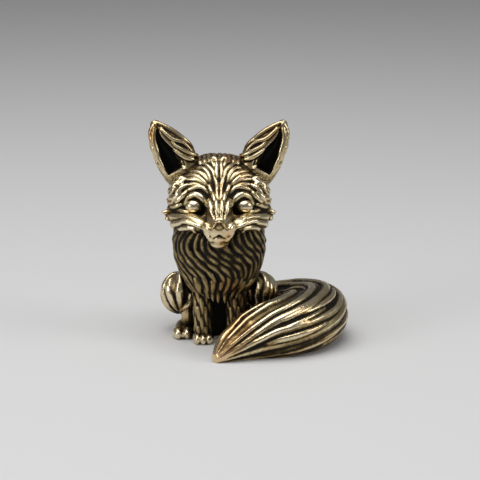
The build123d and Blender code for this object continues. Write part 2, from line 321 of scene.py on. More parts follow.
# Forms are worked in millimetres and shown in metres
mm_per_m = 1000
m_per_mm = 0.001
castings = []
brass = build_brass()
strand_tree, strand_sockets = build_strand_tree()
torso_levels = [
    (0, 5.0, 5.2, 0),
    (4, 5.5, 5.7, 0.3),
    (9.5, 4.9, 5.1, 1.9),
    (14, 4.1, 4.3, 3.6),
    (18.5, 3.2, 3.2, 4.6),
]
torso_rows = 9
torso_columns = 17
torso_top = 17.4
torso_row_drop = 1.9
torso_first_turn = -25
torso_column_turn = 14.4
torso_lowest = 0.2
torso_voxel = 0.13
lock_shares = (0, 0.35, 0.7, 1)
torso_random = Random(11)
torso_strands = []
for row in range(torso_rows):
    for column in range(torso_columns):
        top = torso_top - torso_row_drop * row + torso_random.uniform(-0.7, 0.7)
        turn = torso_first_turn + torso_column_turn * (column + 0.5 * (row % 2)) + torso_random.uniform(-4, 4)
        lean = radians(torso_random.uniform(-16, 16))
        length = torso_random.uniform(3.4, 5.4)
        guide = [
            ring_point(torso_levels, max(top - length * share, torso_lowest), radians(turn) + lean * share**2)
            for share in lock_shares
        ]
        torso_strands.append(strand(guide, torso_random.uniform(0.9, 1.3), torso_random.uniform(0.3, 0.5)))
torso_form = casting_form("torso")
torso_skin = melt([torso_form, comb(torso_form, torso_strands)], torso_voxel, relax=2)
finish_casting("torso", torso_skin, wax_and_shade=0.08)


# Tail
# The brush is one heavy brass casting that is brazed to the rump. Long ridges of fur run along it,
# turning slowly round it as they go, and close together at the tip.
tail_curl_middle = (5.7, -4.9)
tail_curl_radius = 9.6
tail_root_angle = 118
tail_curl_angle = 193
tail_tip = Vector((-0.7, -19.0, 0))
tail_radius = 4.42
tail_lie = 0.93
tail_girths = [
    (0.00, 0.45), (0.14, 0.62), (0.28, 0.80), (0.42, 0.93), (0.51, 0.98), (0.60, 1.00),
    (0.69, 0.97), (0.78, 0.90), (0.87, 0.73), (0.96, 0.42), (1.00, 0.15),
]
tail_swells = [(0.05, 0.0), (0.25, 0.5), (0.45, 0.6), (0.6, 0.35), (0.75, 0.0)]
tail_twist = -85
tail_twist_start = 0.35
tail_ridges = 14
tail_lock_points = 15
tail_first_turn = 40
tail_sway = 6.5
tail_branches = 4
tail_branch_sway = 5
tail_branch_end = 0.98
tail_waves = 9
tail_voxel = 0.14
tail_curl_length = tail_curl_radius * radians(tail_curl_angle)
tail_curl_end = radians(tail_root_angle - tail_curl_angle)
curl_end_outer = Vector((cos(tail_curl_end), sin(tail_curl_end), 0))
curl_end_place = Vector((*tail_curl_middle, 0)) + curl_end_outer * tail_curl_radius
tail_reach = tail_tip - curl_end_place
tip_curl_radius = tail_reach.length_squared / (-2 * tail_reach.dot(curl_end_outer))
tip_curl_middle = curl_end_place - curl_end_outer * tip_curl_radius
tip_curl_angle = 2 * np.arcsin(tail_reach.length / (2 * tip_curl_radius))
tail_length = tail_curl_length + tip_curl_radius * tip_curl_angle


def tail_place(share):
    """The middle of the tail on the floor, and the way towards its outer side, at a share of its length."""
    run = share * tail_length
    if run < tail_curl_length:
        angle = radians(tail_root_angle) - run / tail_curl_radius
        middle, radius = Vector((*tail_curl_middle, 0)), tail_curl_radius
    else:
        angle = tail_curl_end - (run - tail_curl_length) / tip_curl_radius
        middle, radius = tip_curl_middle, tip_curl_radius
    outer = Vector((cos(angle), sin(angle), 0))
    return middle + outer * radius, outer


def tail_point(share, turn):
    """A point on the tail's skin, at a share of its length and a turn up from its outer side, in degrees."""
    middle, outer = tail_place(share)
    radius = tail_radius * float(np.interp(share, *zip(*tail_girths)))
    inner = 1 + max(-cos(radians(turn)), 0) * float(np.interp(share, *zip(*tail_swells)))
    lifted = middle + Vector((0, 0, tail_lie * radius))
    return lifted + radius * (outer * inner * cos(radians(turn)) + Vector((0, 0, sin(radians(turn)))))


def tail_brush(rings=70, sides=48):
    """The brush without its fur, as rings of points that close at both ends."""
    points = []
    for ring in range(rings):
        points += [tail_point(ring / (rings - 1), 360 * side / sides) for side in range(sides)]
    faces = [list(range(sides - 1, -1, -1)), list(range(sides * (rings - 1), sides * rings))]
    for ring in range(rings - 1):
        for side in range(sides):
            here, there = ring * sides + side, ring * sides + (side + 1) % sides
            faces.append((here, there, there + sides, here + sides))
    brush = bpy.data.meshes.new("brush")
    brush.from_pydata(points, [], faces)
    return brush


def tail_lock(turn, start, finish, sway, phase):
    """Guide points of a lock that turns as it runs along the brush, between two shares of its length."""
    guide = []
    for share in np.linspace(start, finish, tail_lock_points):
        twist = tail_twist * max(share - tail_twist_start, 0) / (1 - tail_twist_start)
        guide.append(tail_point(share, turn + twist + sway * sin(tail_waves * share + phase)))
    return guide


tail_random = Random(5)
tail_strands = []
for ridge in range(tail_ridges):
    turn = tail_first_turn + 360 * ridge / tail_ridges + tail_random.uniform(-7, 7)
    phase = tail_random.uniform(0, 2 * pi)
    guide = tail_lock(turn, tail_random.uniform(0, 0.06), 1.0, tail_sway, phase)
    tail_strands.append(strand(guide, tail_random.uniform(1.2, 2.2), tail_random.uniform(0.45, 0.68)))
    for branch in range(tail_branches):
        start = tail_random.uniform(0.05, 0.68)
        finish = min(start + tail_random.uniform(0.2, 0.36), tail_branch_end)
        branch_turn = turn + tail_random.uniform(-2, 20)
        guide = tail_lock(branch_turn, start, finish, tail_branch_sway, phase + branch)
        tail_strands.append(strand(guide, tail_random.uniform(0.6, 1.0), tail_random.uniform(0.4, 0.65)))
tail_form = tail_brush()
tail_skin = melt([tail_form, comb(tail_form, tail_strands, points=60)], tail_voxel, relax=1)
finish_casting("tail", tail_skin)


# Head
# The head is one brass casting that is pegged on the neck, with full cheeks. Locks of fur are cut in a fan
# over the brow, round the eyes, along the cheeks and over the back, and the mouth is cut into the muzzle.
def seen_point(form_tree, across, down):
    """The place on a form that the camera sees through a pixel, or a place close to that line of sight."""
    distance_pixels = lens_mm / sensor_mm * frame_pixels
    sight = Vector((across - frame_pixels / 2, frame_pixels / 2 - down, -distance_pixels))
    way = (camera_turn @ sight).normalized()
    eye = camera_place * mm_per_m
    hit = form_tree.ray_cast(eye, way)[0]
    return hit or form_tree.find_nearest(eye + way * (head_centre - eye).length)[0]


def mirrored(points):
    """Points on the other side of the fox."""
    return [point * mirror_x for point in points]


def seen_strands(form_tree, pixels, breadth, rise):
    """A lock of fur drawn through pixels on the fox's right half, and its mirror image on the left half."""
    right = [seen_point(form_tree, *pixel) for pixel in pixels]
    return [strand(points, breadth, rise) for points in (right, mirrored(right))]


def form_tree_of(mesh):
    """A search tree of a form's faces."""
    faces = [tuple(face.vertices) for face in mesh.polygons]
    return BVHTree.FromPolygons([vertex.co for vertex in mesh.vertices], faces)


def lump(centre, halves, turn=(0, 0, 0)):
    """A smooth egg-shaped mass, by its centre and half sizes in millimetres and its turns in degrees."""
    mass = bmesh.new()
    bmesh.ops.create_icosphere(mass, subdivisions=4, radius=1)
    turned = Matrix.Identity(4)
    for angle, axis in zip(turn, "XYZ"):
        turned = Matrix.Rotation(radians(angle), 4, axis) @ turned
    scaled = Matrix.Diagonal((*halves, 1))
    bmesh.ops.transform(mass, matrix=Matrix.Translation(centre) @ turned @ scaled, verts=mass.verts)
    mesh = bpy.data.meshes.new("lump")
    mass.to_mesh(mesh)
    mass.free()
    return mesh


def skull_point(rise, turn):
    """A point on the skull, by its angle above the skull's middle and its turn from +X towards +Y."""
    level = cos(radians(rise))
    way = Vector((level * cos(radians(turn)), level * sin(radians(turn)), sin(radians(rise))))
    return head_centre + way * skull_halves


def vertex_places(mesh):
    """The places of a mesh's vertices as rows."""
    places = np.empty(len(mesh.vertices) * 3)
    mesh.vertices.foreach_get("co", places)
    return places.reshape(-1, 3)


def vertex_normals(mesh):
    """The directions in which a mesh's vertices face, as rows."""
    normals = np.empty(len(mesh.vertices) * 3)
    mesh.vertex_normals.foreach_get("vector", normals)
    return normals.reshape(-1, 3)


def score(mesh, path, width, depth):
    """Cuts a groove of a width and a depth along a path on a form."""
    places = vertex_places(mesh)
    nearest = np.full(len(places), np.inf)
    for one, other in zip(path[:-1], path[1:]):
        along = np.array(other - one)
        from_one = places - np.array(one)
        share = np.clip(from_one @ along / (along @ along), 0, 1)
        nearest = np.minimum(nearest, np.linalg.norm(from_one - share[:, None] * along, axis=1))
    cut = depth * np.exp(-((2 * nearest / width) ** 2))
    mesh.vertices.foreach_set("co", (places - cut[:, None] * vertex_normals(mesh)).ravel())
    mesh.update()


mirror_x = Vector((-1, 1, 1))
skin_voxel = 0.12
bare_voxel = 0.16
cheek_voxel = 0.14
head_centre = Vector((0, -4.3, 22.8))
skull_halves = Vector((7.2, 6.0, 5.6))
face_middle = 219.5
cheek_outer_pixel = (174, 218)
cheek_inner_pixel = (206, 225)
cheek_shift = Vector((0, 0.1, -0.15))
cheek_overrun = 0.5
cheek_half_depth = 1.8
cheek_half_height = 1.4
bare_head = melt([casting_form("head")], bare_voxel, relax=12)
bare_tree = form_tree_of(bare_head)
cheek_outer = seen_point(bare_tree, *cheek_outer_pixel)
cheek_inner = seen_point(bare_tree, *cheek_inner_pixel)
cheek_way = cheek_inner - cheek_outer
cheek_rise = np.degrees(np.arcsin(cheek_way.z / cheek_way.length))
cheek_yaw = np.degrees(np.arctan2(cheek_way.y, cheek_way.x))
cheek_spot = (cheek_outer + cheek_inner) / 2 + cheek_shift
cheek_halves = (cheek_way.length / 2 + cheek_overrun, cheek_half_depth, cheek_half_height)
cheek_pads = [
    lump(cheek_spot, cheek_halves, (0, -cheek_rise, cheek_yaw)),
    lump(cheek_spot * mirror_x, cheek_halves, (0, cheek_rise, -cheek_yaw)),
]
head_form = melt([bare_head, *cheek_pads], cheek_voxel, relax=4)
head_tree = form_tree_of(head_form)
head_random = Random(3)
head_strands = []

# Locks of the face, each drawn through pixels of the view, with its breadth and rise
face_locks = [
    ([(184.5, 206.5), (188, 198.3), (194.3, 195), (200.8, 196.3), (205.2, 201.5), (208.5, 208)], 1.05, 0.52),
    ([(175, 203.5), (182, 197), (187.8, 190.8), (195.6, 187.4), (203.3, 188.6), (209.5, 196)], 0.85, 0.45),
    ([(175, 197), (178, 191), (183, 186.5), (190, 184.5), (198, 184.5), (206, 188)], 0.75, 0.42),
    ([(178.5, 185.5), (185, 180.3), (192, 179.8), (199, 181.3), (207, 186.5)], 0.75, 0.42),
    ([(184.5, 176.8), (191, 175.4), (198.5, 177.3), (207, 184)], 0.75, 0.42),
    ([(189.5, 172.5), (196.5, 171.8), (203.5, 175.5), (209, 183)], 0.75, 0.42),
    ([(196, 168.5), (203, 169.2), (208.5, 174.5), (211, 183)], 0.75, 0.42),
    ([(201.5, 163.8), (208, 166.5), (212.5, 172.5), (214, 180)], 0.75, 0.42),
    ([(206, 159), (211, 162), (214.8, 167.5), (216, 173)], 0.75, 0.42),
    ([(216, 159), (217.2, 165), (216.4, 171), (217.8, 179)], 0.75, 0.42),
    ([(213.5, 155.5), (214, 158.5), (213.2, 162)], 0.7, 0.42),
    ([(208.5, 185), (211, 191), (213.5, 198), (214.5, 206)], 0.7, 0.38),
    ([(214.5, 178), (216.5, 185), (216.8, 192), (218, 199)], 0.7, 0.38),
    ([(209, 199), (210.5, 206), (212, 213), (213.5, 220)], 0.75, 0.42),
    ([(216, 200), (217, 207), (217, 214), (216.4, 220)], 0.75, 0.42),
    ([(168.5, 211.5), (175, 211.2), (182, 210.8), (190, 213)], 1.2, 0.42),
    ([(169.5, 207), (175, 206.6), (181, 205.2), (186, 207.5)], 0.95, 0.42),
    ([(167, 216), (174, 216.2), (184, 216.5), (195, 219)], 1.2, 0.36),
    (
        [(165, 219.5), (171, 222.8), (177, 223.4), (184.4, 221.6), (192, 223.8), (199, 226.6), (206, 233)],
        0.95, 0.55
    ),
    ([(203.5, 223), (206.5, 226.2), (208.8, 228.8), (210.5, 232)], 1.4, 0.55),
    ([(213.5, 240), (211, 239.3), (208.5, 237.8), (206, 235.5)], 1.1, 0.4),
    ([(173, 227.5), (184, 228), (194, 230.5), (204, 236)], 0.8, 0.3),
    ([(177, 232.5), (187, 233), (197, 236), (206, 240)], 0.8, 0.3),
    ([(181, 192), (176, 197), (172.5, 203), (170, 209)], 0.8, 0.38),
    ([(176, 187), (172, 194), (170, 201), (168.5, 207)], 0.8, 0.38),
    ([(180, 180), (175.5, 184), (172.5, 189), (170.5, 195)], 0.8, 0.38),
    ([(186, 171), (181.5, 174.5), (177.5, 179), (174.5, 184)], 0.8, 0.38),
]
for pixels, breadth, rise in face_locks:
    carved = [
        (across + head_random.uniform(-0.5, 0.5), down + head_random.uniform(-0.4, 0.4))
        for across, down in pixels
    ]
    head_strands += seen_strands(head_tree, carved, breadth, rise)

# Rows of locks round the back of the head, from near the crown down, with more locks where it is wider
head_shares = (0, 0.33, 0.67, 1)
nape_rows = 8
nape_crown = 92
nape_fewest_locks = 5
nape_extra_locks = 13
nape_top = 72
nape_row_drop = 17
nape_first_turn = 4
nape_whole_turn = 172
for row in range(nape_rows):
    height = nape_top - nape_row_drop * row
    count = nape_fewest_locks + nape_extra_locks * sin(radians(min(nape_crown - height, 90)))
    for column in range(int(count)):
        offset = nape_whole_turn * (column + 0.5 * (row % 2)) / count
        turn = nape_first_turn + offset + head_random.uniform(-3, 3)
        top = height + head_random.uniform(-6, 6)
        lean = head_random.uniform(-14, 14)
        length = head_random.uniform(30, 46)
        guide = [skull_point(top - length * share, turn + lean * share**2) for share in head_shares]
        head_strands.append(strand(guide, head_random.uniform(0.85, 1.2), head_random.uniform(0.3, 0.46)))

# Locks that sweep back over the temples and cheeks
temple_rows = 6
temple_top = 32
temple_row_drop = 13
temple_starts = (-46, -26)
temple_stagger = 8
temple_fall = 14
temple_sweep = 34
temple_lock_rise = 0.42
for row in range(temple_rows):
    height = temple_top - temple_row_drop * row
    for start in temple_starts:
        begin = start + temple_stagger * (row % 2) + head_random.uniform(-3, 3)
        top = height + head_random.uniform(-3, 3)
        breadth = head_random.uniform(0.95, 1.3)
        left = [skull_point(top - temple_fall * share, begin + temple_sweep * share) for share in head_shares]
        for guide in (mirrored(left), left):
            head_strands.append(strand(guide, breadth, temple_lock_rise))

# Two rows of short locks from front to back over the crown
crown_height = 29.5
crown_aside = 4
crown_spacing = 0.85
crown_spread = 0.12
crown_runs = ((-7.0, -4.2), (-5.0, -1.8))
crown_lock_rise = 0.42
for column in range(-crown_aside, crown_aside + 1):
    across = crown_spacing * column + head_random.uniform(-0.15, 0.15)
    for start, finish in crown_runs:
        guide = []
        for share in head_shares:
            place = start + (finish - start) * share
            guide.append(Vector((across * (1 + crown_spread * share), place, crown_height)))
        head_strands.append(strand(guide, head_random.uniform(0.75, 1.0), crown_lock_rise))

# Free tips of fur beside the cheeks and on the crown
face_tufts = [
    [(6.8, -6.6, 22.2), (7.6, -6.8, 22.1), (8.0, -7.0, 22.4)],
    [(7.2, -6.6, 20.6), (8.1, -7.0, 20.3), (8.8, -7.2, 20.4)],
    [(7.0, -6.8, 19.8), (7.8, -7.1, 19.4), (8.3, -7.2, 19.2)],
    [(0.2, -6.0, 28.1), (0.7, -5.7, 28.5), (1.3, -5.5, 28.6)],
]
tuft_breadth = 0.9
tuft_rise = 0.45
tuft_clings = (1.0, 0.4, 0.0)
for tuft in face_tufts:
    left = [Vector(spot) for spot in tuft]
    for guide in (mirrored(left), left):
        head_strands.append(strand(guide, tuft_breadth, tuft_rise, tuft_clings))

# The mouth, from the middle of the face outwards
mouth_pixels = [(face_middle, 236.2), (216.5, 237), (214, 238.6)]
mouth_width = 0.36
mouth_depth = 0.18
head_skin = melt([head_form, comb(head_form, head_strands, sides=18)], skin_voxel, relax=1)
skin_tree = form_tree_of(head_skin)
mouth_path = [seen_point(skin_tree, *pixel) for pixel in mouth_pixels]
for path in (mouth_path, mirrored(mouth_path)):
    score(head_skin, path, mouth_width, mouth_depth)
# The head is lightened below its bare patina: painted light on the face
finish_casting("head", head_skin, wax_and_shade=-0.06)


# Ears
# Each ear is a thick brass leaf with a hollow front, brazed into the side of the crown. A rounded rim runs
# up its outer edge, and locks of fur grow from its inner edge over the hollow and cover its back.
ear_locks = [
    ([(160, 125.5), (155.5, 124.5), (153, 127), (152.5, 132)], 1.1, 0.22),
    (
        [(153, 126), (150.5, 133), (152, 140), (152.5, 147), (156, 155), (158, 162), (163, 171), (168, 178)],
        1.0, 0.45
    ),
    ([(155, 127), (153.5, 136), (154, 143), (156.5, 151), (158, 158), (162.5, 166), (166, 173)], 0.9, 0.4),
    ([(151.5, 130), (151, 136), (150.8, 142)], 0.6, 0.5),
    ([(153.5, 146), (154, 150), (155.5, 154)], 0.6, 0.5),
    ([(157, 160), (159, 164), (162, 168)], 0.6, 0.5),
    ([(156, 122), (173, 131), (186, 141), (195, 151), (201, 161)], 0.9, 0.4),
    ([(160, 128), (172, 139), (183, 143), (192, 152), (198, 160)], 0.7, 0.4),
    ([(198, 163), (188, 153), (176, 146), (170, 139)], 0.75, 0.5),
    ([(196, 166), (186, 158), (176, 151), (172, 148)], 0.75, 0.5),
    ([(192, 167.5), (184, 162), (178, 157), (174.5, 151.5)], 0.75, 0.5),
    ([(185, 169), (181, 164), (178, 159)], 0.7, 0.45),
]
both_sides = {"right": -1, "left": 1}
ear_forms = {side: casting_form(f"{side}_ear") for side in both_sides}
ear_tree = form_tree_of(ear_forms["right"])
ear_strands = {side: [] for side in both_sides}
for pixels, breadth, rise in ear_locks:
    right_lock, left_lock = seen_strands(ear_tree, pixels, breadth, rise)
    ear_strands["right"].append(right_lock)
    ear_strands["left"].append(left_lock)

# Rows of locks up the back of each ear, from its root to its tip
ear_root = Vector((5.3, -4.0, 25.7))
ear_tip = Vector((10.1, -3.4, 33.6))
ear_behind = Vector((0, 2.2, 0))
ear_across = Vector((0, 1, 0)).cross(ear_tip - ear_root).normalized()
ear_lock_spacing = 0.95
ear_back_aside = 3
ear_back_rows = 3
ear_back_points = 5
ear_back_start = 0.02
ear_back_start_step = 0.27
ear_back_finish = 0.36
ear_back_finish_step = 0.3
ear_back_breadth = 1.05
ear_back_rise = 0.32
ear_voxel = 0.1
for column in range(-ear_back_aside, ear_back_aside + 1):
    for row in range(ear_back_rows):
        start = ear_back_start + ear_back_start_step * row
        finish = ear_back_finish + ear_back_finish_step * row
        guide = []
        for share in np.linspace(start, finish, ear_back_points):
            across = ear_lock_spacing * column * (1 - share**2)
            guide.append(ear_root.lerp(ear_tip, share) + ear_across * across + ear_behind)
        ear_strands["left"].append(strand(guide, ear_back_breadth, ear_back_rise))
        ear_strands["right"].append(strand(mirrored(guide), ear_back_breadth, ear_back_rise))
for side, form in ear_forms.items():
    ear_skin = melt([form, comb(form, ear_strands[side], sides=14)], ear_voxel, relax=1)
    finish_casting(f"{side}_ear", ear_skin, wax_and_shade=0.1)


# Eyes
# Two small polished brass beads, each fixed in a round seat in one of the head's dark sockets,
# from which it stands out a little.
eye_forward = Vector((0, -0.3, 0))
eye_swell = Vector((0.82, 0.64, 0.66))
for side in both_sides:
    low, high = [Vector(corner) * mm_per_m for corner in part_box(f"{side}_eye")]
    finish_casting(f"{side}_eye", lump((low + high) / 2 + eye_forward, (high - low) * eye_swell))


# Nose
# A small rounded wedge of brass, held on the end of the muzzle by a fine peg.
# A raised rim runs down each side of its front.
def on_side(place, mirror):
    """A place on the left half of the fox, or its mirror image where mirror is -1."""
    return Vector((mirror * place.x, place.y, place.z))


nose_middle = Vector((0, -14.3, 20.2))
nose_ball_shift = Vector((0, 0.5, -0.3))
nose_ball_halves = (1.2, 1.2, 0.95)
nose_bridge_shift = Vector((0, -0.3, 0.5))
nose_bridge_halves = (0.5, 0.7, 0.3)
nose_rim_shift = Vector((0.72, -0.3, -0.05))
nose_rim_halves = (0.3, 0.6, 0.9)
nose_rim_lean = 36
nose_voxel = 0.06
nose_masses = [
    lump(nose_middle + nose_ball_shift, nose_ball_halves),
    lump(nose_middle + nose_bridge_shift, nose_bridge_halves),
]
for mirror in both_sides.values():
    rim_place = nose_middle + on_side(nose_rim_shift, mirror)
    nose_masses.append(lump(rim_place, nose_rim_halves, (0, -nose_rim_lean * mirror, 0)))
finish_casting("nose", melt(nose_masses, nose_voxel, relax=2), wax_and_shade=0.14)


# Chest ruff
# A thick collar of fur, cast as one shell round the neck. Long locks sweep down the chest
# in slow S curves and end in free points over the forelegs.
ruff_levels = [
    (7.6, 3.7, 1.4, 8.2),
    (10.3, 5.8, 4.2, 6.4),
    (13.5, 6.5, 5.7, 5.1),
    (17.0, 6.5, 5.7, 5.1),
    (20, 4.8, 4.4, 5.1),
]
ruff_random = Random(8)
ruff_strands = []
ruff_top = 18.6
ruff_bottom = 7.6
ruff_front = -94
ruff_half_turn = 102
ruff_wave = 13
ruff_half_waves = 2.2
ruff_wave_shift = 1.5
ruff_side_sweep = 8
ruff_middle_sweep = 18
ruff_sweep_middle = -0.1
ruff_sweep_breadth = 0.5
ruff_sweep_power = 1.4


def ruff_flow(across, height):
    """A point where the lock that starts so far across the chest, from -1 to 1, has come down to a height."""
    fall = (ruff_top - height) / (ruff_top - ruff_bottom)
    aside = (across - ruff_sweep_middle) / ruff_sweep_breadth
    sweep = ruff_side_sweep + ruff_middle_sweep * np.exp(-(aside**2))
    wave = ruff_wave * sin(ruff_half_waves * pi * fall + ruff_wave_shift * across)
    turn = ruff_front + ruff_half_turn * across + sweep * fall**ruff_sweep_power - wave
    return ring_point(ruff_levels, height, radians(turn))


# Each layer's number of locks, spread across the chest, top, bottom, breadth and rise
ruff_layers = [
    (21, 1.0, ruff_top, 8.0, 1.08, 0.66),
    (11, 0.54, 11.4, ruff_bottom, 0.9, 0.66),
]
ruff_lock_points = 8
ruff_side_lift = 2.4
for layer, (locks, spread, top, bottom, breadth, rise) in enumerate(ruff_layers):
    for lock in range(locks):
        across = spread * (2 * lock / (locks - 1) - 1) + ruff_random.uniform(-0.015, 0.015)
        start = top - ruff_random.uniform(0, 1.6) * layer
        finish = bottom + ruff_side_lift * across**2 + ruff_random.uniform(-0.7, 0.9)
        guide = [ruff_flow(across, height) for height in np.linspace(start, finish, ruff_lock_points)]
        ruff_strands.append(strand(guide, breadth * ruff_random.uniform(0.85, 1.2), rise))

# Free tips at the bottom of the front: each leaves the shell as it comes down
ruff_tips = 7
ruff_tip_first_turn = -126
ruff_tip_turn = 12
ruff_tip_end = 7.0
ruff_tip_side_lift = 0.09
ruff_tip_path = ((3, 0), (1.3, 0.5), (0, 0.55))
ruff_tip_breadth = 1.0
ruff_tip_rise = 0.5
ruff_tip_clings = (1.0, 0.6, 0.0)
for tip in range(ruff_tips):
    turn = radians(ruff_tip_first_turn + ruff_tip_turn * tip + ruff_random.uniform(-4, 4))
    side_lift = ruff_tip_side_lift * (tip - ruff_tips // 2) ** 2
    end = ruff_tip_end + side_lift + ruff_random.uniform(-0.5, 0.5)
    outwards = Vector((cos(turn), sin(turn), 0))
    guide = [ring_point(ruff_levels, end + lift, turn) + outwards * out for lift, out in ruff_tip_path]
    ruff_strands.append(strand(guide, ruff_tip_breadth, ruff_tip_rise, ruff_tip_clings))

# Two rows of shorter locks round the back of the neck
ruff_back_rows = 2
ruff_back_locks = 16
ruff_back_row_drop = 1.6
ruff_back_first_turn = 12
ruff_back_whole_turn = 156
ruff_back_shares = (0, 0.3, 0.6, 0.8)
ruff_back_length = 4
ruff_back_rise = 0.44
ruff_form_voxel = 0.2
for row in range(ruff_back_rows):
    for lock in range(ruff_back_locks):
        offset = ruff_back_whole_turn * (lock + 0.5 * (row % 2)) / ruff_back_locks
        turn = ruff_back_first_turn + offset + ruff_random.uniform(-3, 3)
        top = ruff_top - ruff_back_row_drop * row + ruff_random.uniform(-0.3, 0.3)
        lean = ruff_random.uniform(-9, 9)
        guide = [
            ring_point(ruff_levels, top - ruff_back_length * share, radians(turn + lean * share))
            for share in ruff_back_shares
        ]
        ruff_strands.append(strand(guide, ruff_random.uniform(0.9, 1.2), ruff_back_rise))
ruff_form = melt([casting_form("chest_ruff")], ruff_form_voxel, relax=60)
ruff_skin = melt([ruff_form, comb(ruff_form, ruff_strands, points=30)], skin_voxel, relax=1)
# The ruff is darkened well past its wax: painted shade under the head
finish_casting("chest_ruff", ruff_skin, wax_and_shade=0.36)


# Forelegs
# Two straight brass legs, each one casting that is pegged into the body and into its paw.
# Short locks of fur are wound round them.
foreleg_levels = [
    (1.1, 1.2, 1.2, 8.1),
    (6, 1.3, 1.3, 8.1),
    (11.5, 1.8, 1.8, 6.6),
]
foreleg_place = Vector((2.5, 0, 0))
foreleg_rows = 6
foreleg_columns = 7
foreleg_top = 10.6
foreleg_row_drop = 1.55
foreleg_lowest = 1.3
foreleg_lean = 16
foreleg_lock_breadth = 0.85
foreleg_lock_rise = 0.3
leg_random = Random(21)
for side, mirror in both_sides.items():
    leg_middle = on_side(foreleg_place, mirror)
    leg_strands = []
    for row in range(foreleg_rows):
        for column in range(foreleg_columns):
            turn = 360 * (column + 0.5 * (row % 2)) / foreleg_columns
            top = foreleg_top - foreleg_row_drop * row
            length = leg_random.uniform(2.6, 3.6)
            guide = []
            for share in lock_shares:
                height = max(top - length * share, foreleg_lowest)
                angle = radians(turn + foreleg_lean * share)
                guide.append(ring_point(foreleg_levels, height, angle) + leg_middle)
            leg_strands.append(strand(guide, foreleg_lock_breadth, foreleg_lock_rise))
    leg_form = casting_form(f"{side}_foreleg")
    leg_skin = melt([leg_form, comb(leg_form, leg_strands)], skin_voxel, relax=1)
    # The forelegs are darkened past their wax: painted shade under the ruff
    finish_casting(f"{side}_foreleg", leg_skin, wax_and_shade=0.29)


# Paws
# Each paw is a small brass casting under its leg, a rounded pad with bulging toes that are parted by
# deep cuts. The hind paws also carry the shins, which run up into the haunches.
pad_height = 0.75
pad_half_height = 1.1
pad_back = 0.4
paw_fill = 0.92
toe_curve = 0.25
toe_splay = 14
paw_voxel = 0.08


def paw_masses(node, toes, toe_halves):
    """The pad of a paw and the toes across its front: how many there are, and their half sizes."""
    low, high = [Vector(corner) * mm_per_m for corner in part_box(node)]
    middle = (low.x + high.x) / 2
    half_width = (high.x - low.x) / 2
    span = half_width - toe_halves[0]
    half_length = (high.y - low.y) / 2
    pad_place = (middle, low.y + half_length + pad_back, pad_height)
    masses = [lump(pad_place, (half_width * paw_fill, half_length, pad_half_height))]
    for toe in range(toes):
        across = 2 * toe / (toes - 1) - 1
        forward = low.y + toe_halves[1] + toe_curve * across**2
        place = (middle + span * across, forward, toe_halves[2] * paw_fill)
        masses.append(lump(place, toe_halves, (0, 0, -toe_splay * across)))
    return masses


fore_toes = 3
fore_toe_halves = (0.6, 1.15, 0.86)
hind_toes = 2
hind_toe_halves = (0.82, 1.3, 0.95)
shin_place = Vector((5.0, -4.0, 2.9))
shin_halves = (0.95, 0.95, 2.6)
for side, mirror in both_sides.items():
    fore_masses = paw_masses(f"{side}_forepaw", fore_toes, fore_toe_halves)
    finish_casting(f"{side}_forepaw", melt(fore_masses, paw_voxel, relax=1))
    hind_masses = paw_masses(f"{side}_hind_foot", hind_toes, hind_toe_halves)
    hind_masses.append(lump(on_side(shin_place, mirror), shin_halves))
    finish_casting(f"{side}_hind_foot", melt(hind_masses, paw_voxel, relax=1))


# Haunches
# The thighs are two leaf-shaped brass castings that are pegged into the body. Broad locks run down each
# from its top to its foot, and short ones lie over the top.
haunch_place = Vector((5.9, -2.4, 6.2))
haunch_half_length = 4.3
haunch_radius = 2.9
haunch_pitch = radians(76)
haunch_axis = Vector((0, -cos(haunch_pitch), -sin(haunch_pitch)))
haunch_front = Vector((0, -sin(haunch_pitch), cos(haunch_pitch)))
haunch_rows = 2
haunch_locks = 10
haunch_first_roll = -135
haunch_lock_roll = 30
haunch_lock_points = 6
haunch_first_start = 0.06
haunch_row_start = 0.3
haunch_lock_length = 0.58
haunch_lock_rise = 0.5
haunch_top_reach = 4.6
haunch_top_aside = 2
haunch_top_spacing = 0.85
haunch_top_path = (1.9, 0.7, -0.6, -1.8)
haunch_top_rise = 0.4
haunch_random = Random(14)
for side, mirror in both_sides.items():
    outwards = Vector((mirror, 0, 0))
    centre = on_side(haunch_place, mirror)
    haunch_strands = []
    for row in range(haunch_rows):
        for lock in range(haunch_locks):
            offset = haunch_lock_roll * (lock + 0.5 * (row % 2))
            roll = haunch_first_roll + offset + haunch_random.uniform(-6, 6)
            begin = haunch_first_start + haunch_row_start * row + haunch_random.uniform(-0.05, 0.05)
            lean = haunch_random.uniform(-14, 14)
            guide = []
            for share in np.linspace(begin, begin + haunch_lock_length, haunch_lock_points):
                angle = radians(roll + lean * (share - begin) / haunch_lock_length)
                round_way = outwards * cos(angle) + haunch_front * sin(angle)
                girth = haunch_radius * sin(pi * share)
                guide.append(centre - haunch_axis * haunch_half_length * cos(pi * share) + round_way * girth)
            haunch_strands.append(strand(guide, haunch_random.uniform(1.0, 1.5), haunch_lock_rise))
    for column in range(-haunch_top_aside, haunch_top_aside + 1):
        above = centre - haunch_axis * haunch_top_reach + outwards * (haunch_top_spacing * column)
        guide = [above + haunch_front * forward for forward in haunch_top_path]
        haunch_strands.append(strand(guide, haunch_random.uniform(0.9, 1.3), haunch_top_rise))
    haunch_form = casting_form(f"{side}_haunch")
    haunch_skin = melt([haunch_form, comb(haunch_form, haunch_strands)], skin_voxel, relax=1)
    finish_casting(f"{side}_haunch", haunch_skin)


